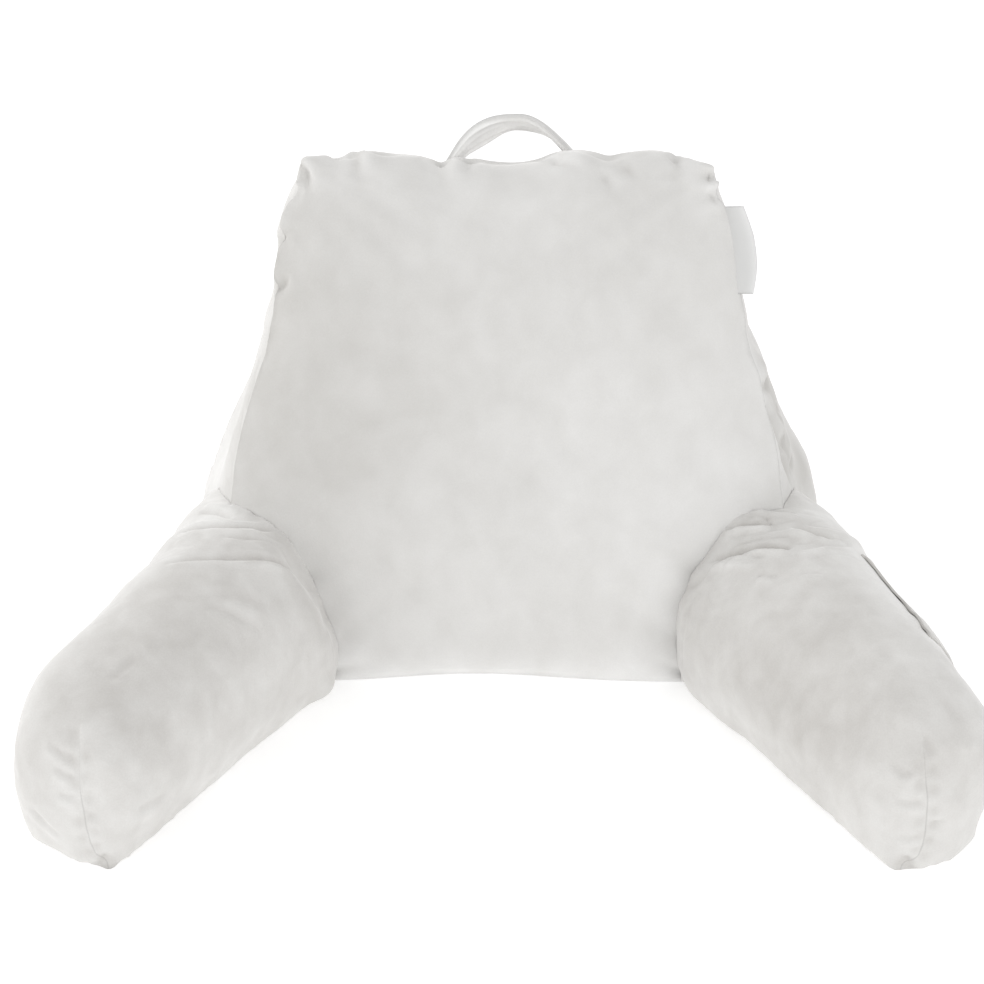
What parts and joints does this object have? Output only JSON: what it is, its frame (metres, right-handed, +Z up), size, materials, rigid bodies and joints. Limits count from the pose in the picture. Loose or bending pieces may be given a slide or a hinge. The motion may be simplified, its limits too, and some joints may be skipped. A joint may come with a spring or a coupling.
{
  "type": "reading pillow with arms",
  "caption": "Stuffed plush back-rest pillow that stands on its own base, with two forward arms, a carry strap on top, a blank side tag and a pocket on one arm",
  "frame": {"origin": "centre of the back cushion's flat base, on the surface that the pillow stands on", "axes": "+Z up, -Y the way the front faces, +X to the viewer's right when the front is seen; the long side is the width across both arms, along X"},
  "size_m": [0.6176, 0.4423, 0.3398],
  "materials": {
    "back_plush": "pale warm grey short-pile plush with mottled nap",
    "arm_plush": "pale warm grey short-pile plush with mottled nap",
    "pocket_plush": "pale warm grey short-pile plush",
    "strap_plush": "pale grey plush band, wrinkled inside",
    "tag_ribbon": "grey satin ribbon, plain"
  },
  "bodies": {
    "root": {"back_cushion": "back_plush", "arm_left": "arm_plush", "arm_right": "arm_plush", "arm_pocket": "pocket_plush", "carry_handle": "strap_plush", "side_tag": "tag_ribbon"}
  },
  "joints": []
}
